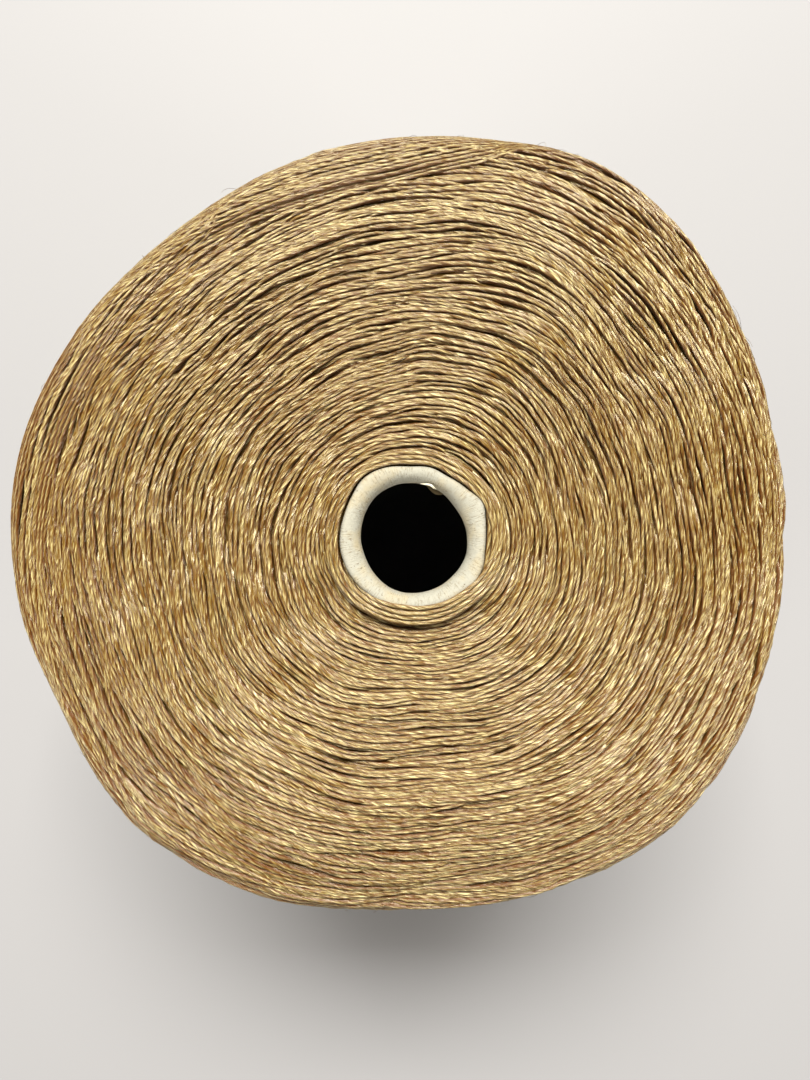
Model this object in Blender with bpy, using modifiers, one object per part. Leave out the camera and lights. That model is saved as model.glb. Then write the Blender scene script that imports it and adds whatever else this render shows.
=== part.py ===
# Cone of yarn: a large soft-wound package of yarn on a tapered paper cone, standing nose up.
# Metres, +Z up. The paper cone's axis is the Z axis and its base stands on Z = 0.
# Angles run anticlockwise from +X, seen from above.

import math

import bpy

MM = 0.001

# Paper cone
CONE_LENGTH = 170 * MM
CONE_TAPER = math.tan(math.radians(5.95))  # half angle of the usual 5 deg 57 min cone
NOSE_RADIUS = 13.0 * MM  # outside, at the tip
NOSE_BORE = 9.8 * MM  # radius inside the rolled rim
NOSE_ROLL = 1.6 * MM  # radius of the rolled rim's round top
ROLL_DEPTH = 5.5 * MM  # how far the rolled rim reaches down inside
ROLL_TAIL = 4.0 * MM  # below that, the rim thins down to the wall over this depth
PAPER_WALL = 2.6 * MM
CONE_STEPS = 48

# Yarn, on the circle that its lobes swing about
FIT_GAP = 0.3 * MM  # between the paper and the yarn
FACE_HEIGHT = 168.3 * MM  # nose end face, at the paper cone
FACE_CROWN = 2.0 * MM  # how much higher the face is there than farther out
CROWN_REACH = 7.0 * MM
RIM_FALL = 7.8 * MM  # how far the face falls to its shoulder
FACE_DOME = 5  # power of that fall: the face is flat inside and drops late
SIDE_RADIUS = 78.9 * MM  # the side's radius just under the nose shoulder
SHOULDER_ROUND = 7.0 * MM
SIDE_TOP = 149.5 * MM
SIDE_BOTTOM = 17.0 * MM
SIDE_BULGE = 1.4 * MM  # the side is slightly barrelled
BASE_ROUND = 6.5 * MM
BASE_HEIGHT = 10.5 * MM  # under the base shoulder
BASE_HOLLOW = 3.0 * MM  # the base face rises this much towards the cone
YARN_STEPS = 80

# Rows of points along the yarn's section
FACE_ROWS = 14
RIM_WIDTH = 12.0 * MM  # outer part of the face, where rows are closer
RIM_ROWS = 6
SHOULDER_ROWS = 4
SIDE_ROWS = 14
BASE_ROWS = 4

# The wound layers aren't round. layer_wave is how far (mm) the layers inside the face
# swing out, and rim_lobe how far the rim does.
LOBE_COLUMNS = ("degrees", "layer_wave", "rim_lobe")
LOBE_ROWS = (
    (0, -0.4, -4.1),
    (20, -0.6, -2.1),
    (40, 0.2, 2.0),
    (62, 1.5, 6.0),
    (80, 0.6, 3.4),
    (100, -0.8, 2.0),
    (128, -1.4, -0.2),
    (150, -0.4, 1.4),
    (168, 0.3, 3.0),
    (184, 0.4, 2.6),
    (206, 0.7, 0.6),
    (226, 0.9, 2.4),
    (248, -0.2, -0.3),
    (270, -1.5, -3.4),
    (292, -0.3, -2.2),
    (312, 0.8, -0.1),
    (336, 0.4, -2.2),
)
WAVE_FULL = 0.30  # share of the build-up from which the layers' wave is whole
RIM_POWER = 5.0  # how late the rim's lobes take over from the layers' wave
LOBE_LEFT_AT_BASE = 0.12  # share of the lobes left at the base shoulder

# Outer wraps slipped over the nose shoulder and lie along the rim in two swags, as a raised
# lip. crest is the radius (mm) of its top line, and rise its height (mm) over the face.
LIP_COLUMNS = ("degrees", "crest", "rise")
LIP_ROWS = (
    (0, 72.0, 0.0),
    (70, 75.5, 0.0),
    (80, 74.8, 1.4),
    (89, 72.4, 2.7),
    (98, 70.2, 3.1),
    (112, 70.1, 3.1),
    (123, 71.9, 2.4),
    (131, 73.0, 1.7),
    (140, 72.0, 2.1),
    (150, 71.6, 2.4),
    (164, 72.6, 2.1),
    (178, 73.8, 1.4),
    (192, 74.6, 0.6),
    (204, 74.6, 0.0),
)
LIP_SLOPE = 2.4 * MM  # width of the lip's inner slope
LIP_WHOLE = 1.2 * MM  # from this rise on, the rows of points lie along the crest

# Main twists: waves of the layers in the end faces, and crossing bands of wraps on the side
FACE_WAVE_PITCH = 13.5 * MM
FACE_WAVE = 0.35 * MM
BAND_COUNT = 6  # bands round the side, each way
BAND_PITCH = 28.0 * MM  # along the axis
BAND_RELIEF = 0.40 * MM
CONE_CLEAR = 6.0 * MM  # the waves fade out over this distance from the paper cone

YARN_COLOUR = (0.43, 0.29, 0.125, 1)
PAPER_COLOUR = (0.72, 0.66, 0.52, 1)


def clear_scene():
    for item in list(bpy.data.objects):
        bpy.data.objects.remove(item, do_unlink=True)


def paint(name, colour, roughness):
    material = bpy.data.materials.new(name)
    material.use_nodes = True
    shader = material.node_tree.nodes["Principled BSDF"]
    shader.inputs["Base Color"].default_value = colour
    shader.inputs["Roughness"].default_value = roughness
    shader.inputs["Metallic"].default_value = 0.0
    return material


# ---- curves ----


def smooth(value, low, high):
    """0 below low, 1 above high, and an even S between them."""
    share = min(max((value - low) / (high - low), 0.0), 1.0)
    return share * share * (3 - 2 * share)


def round_table(rows, column, angle):
    """A column's value (mm) at an angle, on a smooth closed curve through the table's rows."""
    degrees = math.degrees(angle) % 360
    count = len(rows)
    last = max(i for i in range(count) if rows[i][0] <= degrees)
    at, values = [], []
    for i in range(last - 1, last + 3):
        at.append(rows[i % count][0] + 360 * (i // count))
        values.append(rows[i % count][column])
    span = at[2] - at[1]
    t = (degrees - at[1]) / span
    slope = [(values[i + 1] - values[i - 1]) / (at[i + 1] - at[i - 1]) * span for i in (1, 2)]
    return MM * (
        values[1] * (2 * t**3 - 3 * t**2 + 1)
        + slope[0] * (t**3 - 2 * t**2 + t)
        + values[2] * (3 * t**2 - 2 * t**3)
        + slope[1] * (t**3 - t**2)
    )


def arc(centre, radius, from_deg, to_deg, count):
    """Points on an arc, ends included."""
    turns = [math.radians(from_deg + (to_deg - from_deg) * i / count) for i in range(count + 1)]
    return [(centre[0] + radius * math.cos(t), centre[1] + radius * math.sin(t)) for t in turns]


# ---- sections, as (radius, height) points down the outside and back up the inside ----


def cone_outside(height):
    """Outer radius of the paper cone at a height."""
    return NOSE_RADIUS + (CONE_LENGTH - height) * CONE_TAPER


def cone_section():
    """The paper cone, with the rolled rim of its nose."""
    roll_centre = (NOSE_RADIUS - NOSE_ROLL, CONE_LENGTH - NOSE_ROLL)
    rim = arc(roll_centre, NOSE_ROLL, 160, 0, 5)
    wall_top = CONE_LENGTH - ROLL_DEPTH - ROLL_TAIL
    outside = [(cone_outside(0), 0)]
    inside = [(cone_outside(height) - PAPER_WALL, height) for height in (0, wall_top)]
    bore = [
        (NOSE_BORE + NOSE_ROLL / 4, CONE_LENGTH - ROLL_DEPTH),
        (NOSE_BORE, CONE_LENGTH - ROLL_DEPTH / 2),
        (NOSE_BORE, CONE_LENGTH - 1.4 * NOSE_ROLL),
    ]
    return rim + outside + inside + bore


def face_point(radius):
    """A point of the nose end face: a low crown by the cone, then flat, then falling to the rim."""
    start = cone_outside(FACE_HEIGHT) + FIT_GAP
    share = (radius - start) / (SIDE_RADIUS - SHOULDER_ROUND - start)
    crown = FACE_CROWN * (1 - math.exp((start - radius) / CROWN_REACH))
    return (radius, FACE_HEIGHT - crown - RIM_FALL * share**FACE_DOME)


def side_point(height):
    """A point of the side, from the nose shoulder down to the base shoulder."""
    share = min(max((SIDE_TOP - height) / (SIDE_TOP - SIDE_BOTTOM), 0), 1)
    radius = SIDE_RADIUS + (SIDE_TOP - SIDE_BOTTOM) * share * CONE_TAPER
    return (radius + SIDE_BULGE * math.sin(math.pi * share), height)


def even_steps(start, end, count):
    """Values from start, a step apart, without the end."""
    return [start + (end - start) * i / count for i in range(count)]


def yarn_section():
    """The yarn: nose end face, shoulder, side, base shoulder, base face and bore."""
    face_end = SIDE_RADIUS - SHOULDER_ROUND
    rim_start = face_end - RIM_WIDTH
    radii = even_steps(cone_outside(FACE_HEIGHT) + FIT_GAP, rim_start, FACE_ROWS)
    radii += even_steps(rim_start, face_end, RIM_ROWS)
    face = [face_point(radius) for radius in radii]

    # The shoulder's quarter circle is stretched upwards so that it meets the face.
    rise = (face_point(face_end)[1] - SIDE_TOP) / SHOULDER_ROUND
    quarter = arc((face_end, 0), SHOULDER_ROUND, 84, 0, SHOULDER_ROWS)
    shoulder = [(radius, SIDE_TOP + rise * height) for radius, height in quarter]

    heights = even_steps(SIDE_TOP, SIDE_BOTTOM, SIDE_ROWS)[1:] + [SIDE_BOTTOM]
    side = [side_point(height) for height in heights]

    base_end = side_point(SIDE_BOTTOM)[0] - BASE_ROUND
    base_shoulder = arc((base_end, BASE_HEIGHT + BASE_ROUND), BASE_ROUND, -30, -90, 2)

    bore_bottom = BASE_HEIGHT + BASE_HOLLOW
    bore_radius = cone_outside(bore_bottom) + FIT_GAP
    radii = even_steps(base_end, bore_radius, BASE_ROWS)[1:] + [bore_radius]
    base = [
        (radius, BASE_HEIGHT + BASE_HOLLOW * ((base_end - radius) / (base_end - bore_radius)) ** 1.5)
        for radius in radii
    ]
    return face + shoulder + side + base_shoulder + base


# ---- the wound layers' own shape ----


def swing(radius, height, angle):
    """How far the lobes move a point of the turned yarn outwards."""
    inner = cone_outside(height) + FIT_GAP
    build = min((radius - inner) / (side_point(height)[0] - inner), 1.0)
    rim = build**RIM_POWER
    wave = smooth(build, 0, WAVE_FULL) * (1 - rim)
    lobes = wave * round_table(LOBE_ROWS, 1, angle) + rim * round_table(LOBE_ROWS, 2, angle)
    down = smooth(SIDE_TOP - height, 0, SIDE_TOP - SIDE_BOTTOM)
    return lobes * (1 - (1 - LOBE_LEFT_AT_BASE) * down)


def lip(layer, radius, height, angle):
    """Moves a point of the rim onto the slipped wraps' lip. layer is its turned radius."""
    rise = max(round_table(LIP_ROWS, 2, angle), 0)
    crest = round_table(LIP_ROWS, 1, angle)
    edge = SIDE_RADIUS + round_table(LOBE_ROWS, 2, angle)

    # Turned radii of the rows that go to the lip's foot and crest, and where they go
    row = RIM_WIDTH / RIM_ROWS
    rim_start = SIDE_RADIUS - SHOULDER_ROUND - RIM_WIDTH
    start = rim_start + swing(rim_start, height, angle)
    stops = (rim_start, SIDE_RADIUS - SHOULDER_ROUND - 2 * row, SIDE_RADIUS - SHOULDER_ROUND - row)
    stops += (SIDE_RADIUS,)
    places = (start, crest - LIP_SLOPE, crest, edge)
    profile = (0, 0, 1, 0)
    for i in range(len(stops) - 1):
        if stops[i] <= layer <= stops[i + 1]:
            share = (layer - stops[i]) / (stops[i + 1] - stops[i])
            place = places[i] + (places[i + 1] - places[i]) * share
            ease = smooth(share, 0, 1)
            up = profile[i] + (profile[i + 1] - profile[i]) * ease
            radius += (place - radius) * smooth(rise, 0, LIP_WHOLE)
            height += rise * up
    return radius, height


def face_waves(radius, angle):
    """Ridges of the layers in an end face, which swing a little round the cone."""
    phase = 2 * math.pi * (radius - NOSE_RADIUS) / FACE_WAVE_PITCH
    return FACE_WAVE * math.sin(phase + 0.9 * math.sin(3 * angle) + 0.5 * math.sin(7 * angle))


def side_bands(height, angle):
    """Relief of the crossing bands of wraps on the side."""
    along = 2 * math.pi * height / BAND_PITCH
    turn = BAND_COUNT * angle
    return BAND_RELIEF * (math.cos(turn + along) + math.cos(turn - along + 1.1)) / 2


def shape_yarn(mesh):
    """Gives the turned yarn its lobes, slipped lip, layer waves and crossing bands."""
    for vertex in mesh.vertices:
        layer, height = math.hypot(vertex.co.x, vertex.co.y), vertex.co.z
        angle = math.atan2(vertex.co.y, vertex.co.x)
        bore = cone_outside(height) + FIT_GAP
        if layer < bore + FIT_GAP:
            continue  # the bore stays round on the paper
        on_side = smooth(layer, side_point(height)[0] - SHOULDER_ROUND, side_point(height)[0])
        radius = layer + swing(layer, height, angle) + on_side * side_bands(height, angle)
        if height > SIDE_TOP:
            radius, height = lip(layer, radius, height, angle)
        if height > SIDE_TOP or height < SIDE_BOTTOM:
            clear_of_cone = smooth(layer, bore, bore + CONE_CLEAR)
            height += (1 - on_side) * clear_of_cone * face_waves(layer, angle)
        vertex.co = (radius * math.cos(angle), radius * math.sin(angle), height)


# ---- objects ----


def turned(name, section, steps, material, collection):
    """A closed section turned round the Z axis by a Screw modifier."""
    mesh = bpy.data.meshes.new(name)
    points = [(radius, 0, height) for radius, height in section]
    edges = [(i, (i + 1) % len(points)) for i in range(len(points))]
    mesh.from_pydata(points, edges, [])
    mesh.materials.append(material)
    item = bpy.data.objects.new(name, mesh)
    collection.objects.link(item)
    screw = item.modifiers.new("turn", "SCREW")
    screw.axis = "Z"
    screw.angle = 2 * math.pi
    screw.steps = steps
    screw.render_steps = steps
    screw.use_merge_vertices = True
    screw.merge_threshold = 0.01 * MM
    screw.use_smooth_shade = True
    return item


def make_mesh_real(item):
    """Replaces an object's section and modifiers with the mesh that they make."""
    depsgraph = bpy.context.evaluated_depsgraph_get()
    made = bpy.data.meshes.new_from_object(item.evaluated_get(depsgraph))
    item.modifiers.clear()
    item.data = made
    return made


def main():
    clear_scene()
    collection = bpy.data.collections.new("cone_of_yarn")
    bpy.context.scene.collection.children.link(collection)

    paper = paint("paper", PAPER_COLOUR, 0.85)
    turned("paper_cone", cone_section(), CONE_STEPS, paper, collection)

    yarn = paint("yarn", YARN_COLOUR, 0.9)
    package = turned("yarn_package", yarn_section(), YARN_STEPS, yarn, collection)
    shape_yarn(make_mesh_real(package))


main()
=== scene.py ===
# Cone of yarn, seen from straight above its nose. Its strands are tubes laid on the package's form.
import math

import bpy
import numpy as np
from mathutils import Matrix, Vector


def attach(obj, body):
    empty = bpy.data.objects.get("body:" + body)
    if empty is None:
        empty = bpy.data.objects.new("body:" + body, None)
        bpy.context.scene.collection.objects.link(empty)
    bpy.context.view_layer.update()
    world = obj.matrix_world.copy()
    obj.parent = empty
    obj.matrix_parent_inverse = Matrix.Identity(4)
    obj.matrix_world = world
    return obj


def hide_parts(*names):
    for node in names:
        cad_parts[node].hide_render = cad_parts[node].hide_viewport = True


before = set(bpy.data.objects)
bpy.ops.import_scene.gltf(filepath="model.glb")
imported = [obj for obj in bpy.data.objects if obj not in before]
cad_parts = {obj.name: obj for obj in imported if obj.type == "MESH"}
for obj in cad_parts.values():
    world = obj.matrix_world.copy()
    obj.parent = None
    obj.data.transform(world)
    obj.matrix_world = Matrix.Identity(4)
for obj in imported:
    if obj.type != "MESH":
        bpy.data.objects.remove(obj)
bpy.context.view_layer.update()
print("frame loaded:", ", ".join(sorted(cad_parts)))

mm = 0.001
tau = 2 * math.pi
body = "root"


def linear(hexColour):  # sRGB hex to the linear colour that shaders take
    parts = [int(hexColour[i:i + 2], 16) / 255 for i in (1, 3, 5)]
    return tuple(p / 12.92 if p <= 0.04045 else ((p + 0.055) / 1.055) ** 2.4 for p in parts) + (1.0,)


# A node with its settings, values and links. Inputs go by name, or by place as _0, _1. A value
# is a number, a vector, a hex colour, a socket, or a node, whose first output is meant.
def addNode(tree, kind, settings=None, **inputs):
    node = tree.nodes.new(kind)
    for name, value in (settings or {}).items():
        setattr(node, name, value)
    for name, value in inputs.items():
        place = int(name[1:]) if name[1:].isdigit() else name.replace("_", " ")
        if isinstance(value, bpy.types.Node):
            value = value.outputs[0]
        if isinstance(value, bpy.types.NodeSocket):
            tree.links.new(value, node.inputs[place])
        else:
            node.inputs[place].default_value = linear(value) if isinstance(value, str) else value
    return node


def newMaterial(name):
    material = bpy.data.materials.new(name)
    material.use_nodes = True
    tree = material.node_tree
    tree.nodes.clear()
    shader = addNode(tree, "ShaderNodeBsdfPrincipled")
    addNode(tree, "ShaderNodeOutputMaterial", Surface=shader)
    return material, tree, shader


def addPiece(name, mesh, material, replaced=None):
    piece = bpy.data.objects.new(name, mesh)
    bpy.context.scene.collection.objects.link(piece)
    mesh.materials.append(material)
    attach(piece, body)
    if replaced:
        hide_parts(replaced)
    return piece


def smoothStep(value, low, high):
    share = np.clip((value - low) / (high - low), 0, 1)
    return share * share * (3 - 2 * share)


# The paper cone and the yarn package have the sizes of their solids.
coneForm = {
    "length": 170 * mm,
    "taper": math.tan(math.radians(5.95)),
    "noseRadius": 13.0 * mm,
    "wall": 2.6 * mm,
    "tuckUnderYarn": 0.1 * mm,  # how far the roll reaches out below the first turn of yarn
}

packageForm = {
    "gap": 0.3 * mm,
    "faceHeight": 168.3 * mm,
    "faceCrown": 2.0 * mm,
    "crownReach": 7.0 * mm,
    "rimFall": 7.8 * mm,
    "faceDome": 5,  # power of its fall towards the rim
    "sideRadius": 78.9 * mm,
    "shoulderRound": 7.0 * mm,
    "shoulderStart": 84,  # degrees of its round
    "sideTop": 149.5 * mm,
    "sideBottom": 17.0 * mm,
    "sideBulge": 1.4 * mm,
    "baseRound": 6.5 * mm,
    "baseHeight": 10.5 * mm,
    "baseHollow": 3.0 * mm,
    "baseDome": 1.5,  # power of the hollow
    "points": {"face": 120, "round": 24, "side": 160, "base": 80},
    "waveFull": 0.30,  # share of the way out where the layers' waves are full
    "rimPower": 5.0,  # power at which the rim's lobes come in on the way out
    "lobeLeftAtBase": 0.12,  # share of the waves and lobes
    "lipSlope": 2.1 * mm,  # width of the lip's inner slope
    "lipHeight": 0.68,  # share of the solid's lip that is left below the slipped turns
    "lipFoot": 3 * mm,  # over the side's top, where the lip ends
    "firstTurn": 13.6 * mm,  # mean radius of the first turn of yarn
    "hugReach": 5 * mm,  # over which turns follow the first one's uneven edge less and less
}

# degrees, layer wave (mm), rim lobe (mm)
lobeRows = np.array([
    (0, -0.4, -4.1), (20, -0.6, -2.1), (40, 0.2, 2.0), (62, 1.5, 6.0), (80, 0.6, 3.4),
    (100, -0.8, 2.0), (128, -1.4, -0.2), (150, -0.4, 1.4), (168, 0.3, 3.0), (184, 0.4, 2.6),
    (206, 0.7, 0.6), (226, 0.9, 2.4), (248, -0.2, -0.3), (270, -1.5, -3.4), (292, -0.3, -2.2),
    (312, 0.8, -0.1), (336, 0.4, -2.2),
])

# degrees, radius of the slipped wraps' crest (mm), its rise over the face (mm)
lipRows = np.array([
    (0, 72.0, 0.0), (70, 75.5, 0.0), (80, 74.8, 1.4), (89, 72.4, 2.7), (98, 70.2, 3.1),
    (112, 70.1, 3.1), (123, 71.9, 2.4), (131, 73.0, 1.7), (140, 72.0, 2.1), (150, 71.6, 2.4),
    (164, 72.6, 2.1), (178, 73.8, 1.4), (192, 74.6, 0.6), (204, 74.6, 0.0),
])

# degrees, outer radius of the cone's rolled rim, of the first turn of yarn, and of the rim's hole (mm)
rimRows = np.array([
    (0, 13.1, 14.3, 9.9), (14, 13.5, 14.1, 9.7), (26, 14.0, 14.1, 9.45), (40, 13.2, 13.4, 9.4),
    (60, 12.6, 12.8, 9.7), (78, 13.0, 13.1, 9.9), (94, 12.9, 13.1, 10.05), (116, 13.8, 14.0, 10.25),
    (132, 14.1, 14.3, 10.25), (146, 13.6, 13.8, 10.15), (160, 13.3, 13.5, 9.95), (176, 13.5, 13.6, 9.75),
    (206, 13.6, 13.7, 9.8), (230, 13.4, 13.4, 10.05), (250, 13.3, 12.9, 10.4), (270, 13.2, 12.7, 10.35),
    (290, 13.3, 12.9, 10.25), (310, 13.5, 13.2, 10.2), (325, 13.9, 13.8, 10.2), (336, 13.8, 14.2, 10.2),
    (346, 13.3, 14.4, 10.15),
])


def roundTable(rows, column, theta):  # smooth closed curve through a table's rows, in metres
    degrees = np.degrees(theta) % 360
    count = len(rows)
    last = np.searchsorted(rows[:, 0], degrees, side="right") - 1
    at = [rows[(last + step) % count, 0] + 360 * ((last + step) // count) for step in (-1, 0, 1, 2)]
    values = [rows[(last + step) % count, column] for step in (-1, 0, 1, 2)]
    span = at[2] - at[1]
    t = (degrees - at[1]) / span
    slopeHere = (values[2] - values[0]) / (at[2] - at[0]) * span
    slopeNext = (values[3] - values[1]) / (at[3] - at[1]) * span
    return mm * (values[1] * (2 * t**3 - 3 * t**2 + 1) + slopeHere * (t**3 - 2 * t**2 + t)
                 + values[2] * (3 * t**2 - 2 * t**3) + slopeNext * (t**3 - t**2))


def coneOutside(height):
    return coneForm["noseRadius"] + (coneForm["length"] - height) * coneForm["taper"]


def sideRadiusAt(height):
    p = packageForm
    share = np.clip((p["sideTop"] - height) / (p["sideTop"] - p["sideBottom"]), 0, 1)
    return (p["sideRadius"] + (p["sideTop"] - p["sideBottom"]) * share * coneForm["taper"]
            + p["sideBulge"] * np.sin(math.pi * share))


def packageProfile():  # (radius, height) from the nose face at the cone to the base face at the cone
    p = packageForm
    start = coneOutside(p["faceHeight"]) + p["gap"]
    faceEnd = p["sideRadius"] - p["shoulderRound"]
    share = np.linspace(0, 1, p["points"]["face"])
    crown = p["faceCrown"] * (1 - np.exp((start - faceEnd) * share / p["crownReach"]))
    face = np.stack([start + (faceEnd - start) * share,
                     p["faceHeight"] - crown - p["rimFall"] * share**p["faceDome"]], 1)
    turn = np.radians(np.linspace(p["shoulderStart"], 0, p["points"]["round"]))
    rise = face[-1, 1] - p["sideTop"]
    shoulder = np.stack([faceEnd + p["shoulderRound"] * np.cos(turn),
                         p["sideTop"] + rise * np.sin(turn)], 1)
    height = np.linspace(p["sideTop"], p["sideBottom"], p["points"]["side"])[1:]
    side = np.stack([sideRadiusAt(height), height], 1)
    baseEnd = side[-1, 0] - p["baseRound"]
    turn = np.radians(np.linspace(0, -90, p["points"]["round"]))[1:]
    baseShoulder = np.stack([baseEnd + p["baseRound"] * np.cos(turn),
                             p["baseHeight"] + p["baseRound"] * (1 + np.sin(turn))], 1)
    bore = coneOutside(p["baseHeight"] + p["baseHollow"]) + p["gap"]
    share = np.linspace(0, 1, p["points"]["base"])[1:]
    base = np.stack([baseEnd + (bore - baseEnd) * share,
                     p["baseHeight"] + p["baseHollow"] * share ** p["baseDome"]], 1)
    marks = np.cumsum([len(face), len(shoulder), len(side), len(baseShoulder), len(base)]) - 1
    return np.concatenate([face, shoulder, side, baseShoulder, base]), marks


# run is the distance along this profile, from the nose face's inner edge
profile, profileMarks = packageProfile()
profileStep = np.diff(profile, axis=0)
profileRun = np.concatenate([[0], np.cumsum(np.hypot(profileStep[:, 0], profileStep[:, 1]))])
_, sideTopRun, sideBottomRun, _, profileEnd = profileRun[profileMarks]
profileTangent = np.gradient(profile, profileRun, axis=0)
profileTangent /= np.hypot(profileTangent[:, 0], profileTangent[:, 1])[:, None]


def radiusAt(run):
    return np.interp(run, profileRun, profile[:, 0])


def heightAt(run):
    return np.interp(run, profileRun, profile[:, 1])


def swing(radius, height, theta):  # how far the lobes move a point of the turned form outwards
    p = packageForm
    inner = coneOutside(height) + p["gap"]
    build = np.clip((radius - inner) / (sideRadiusAt(height) - inner), 0, 1)
    rim = build ** p["rimPower"]
    wave = smoothStep(build, 0, p["waveFull"]) * (1 - rim)
    down = smoothStep(p["sideTop"] - height, 0, p["sideTop"] - p["sideBottom"])
    lobes = wave * roundTable(lobeRows, 1, theta) + rim * roundTable(lobeRows, 2, theta)
    return lobes * (1 - (1 - p["lobeLeftAtBase"]) * down)


def lipRise(radius, height, theta):  # the slipped wraps' lip along the rim
    p = packageForm
    crest = roundTable(lipRows, 1, theta)
    edge = p["sideRadius"] + roundTable(lobeRows, 2, theta)
    inside = 1 - smoothStep(crest - radius, 0, p["lipSlope"])
    outside = 1 - smoothStep(radius, crest, edge)
    onFace = smoothStep(height, p["sideTop"], p["sideTop"] + p["lipFoot"])
    return p["lipHeight"] * np.maximum(roundTable(lipRows, 2, theta), 0) * inside * outside * onFace


def onPackage(run, theta, lift):  # points and outward normals, lift metres off the form
    p = packageForm
    radius, height = radiusAt(run), heightAt(run)
    # outward is to the left of the way down the profile
    outward = -np.interp(run, profileRun, profileTangent[:, 1])
    upward = np.interp(run, profileRun, profileTangent[:, 0])
    hug = (roundTable(rimRows, 2, theta) - p["firstTurn"]) * np.exp(-np.maximum(run, 0) / p["hugReach"])
    spread = radius + swing(radius, height, theta) + hug
    height = height + lipRise(spread, height, theta) + lift * upward
    spread = spread + lift * outward
    points = np.stack([spread * np.cos(theta), spread * np.sin(theta), height], -1)
    normals = np.stack([outward * np.cos(theta), outward * np.sin(theta), upward], -1)
    return points, normals


noiseRows, noiseCells = 512, 512  # mm down the profile, and cells round the form


def layerNoise(seed, runWave, turnWave):  # even noise over the form, about -2 to 2; turnWave in degrees
    rows, cells = noiseRows, noiseCells
    raw = np.random.default_rng(seed).standard_normal((rows, cells))
    runFrequency = np.fft.fftfreq(rows, mm)[:, None] * runWave
    turnFrequency = np.fft.fftfreq(cells, 360 / cells)[None, :] * turnWave
    soft = np.real(np.fft.ifft2(np.fft.fft2(raw) * np.exp(-2 * (runFrequency**2 + turnFrequency**2))))
    soft /= soft.std()

    def sample(run, theta):
        row, cell = np.clip(run / mm, 0, rows - 2), (theta / tau % 1) * cells
        i, j = row.astype(int), cell.astype(int) % cells
        a, b, nextCell = row - i, cell - np.floor(cell), (j + 1) % cells
        return ((1 - a) * ((1 - b) * soft[i, j] + b * soft[i, nextCell])
                + a * ((1 - b) * soft[i + 1, j] + b * soft[i + 1, nextCell]))
    return sample


strandMaps = {
    "offset": 7.3,  # mm from one strand's start to the next one's, so that neighbours don't match
    "repeatAfter": 400,  # strands
    "bakeMargin": 0.06,  # share of a strand's cell in the bake map
}


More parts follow.
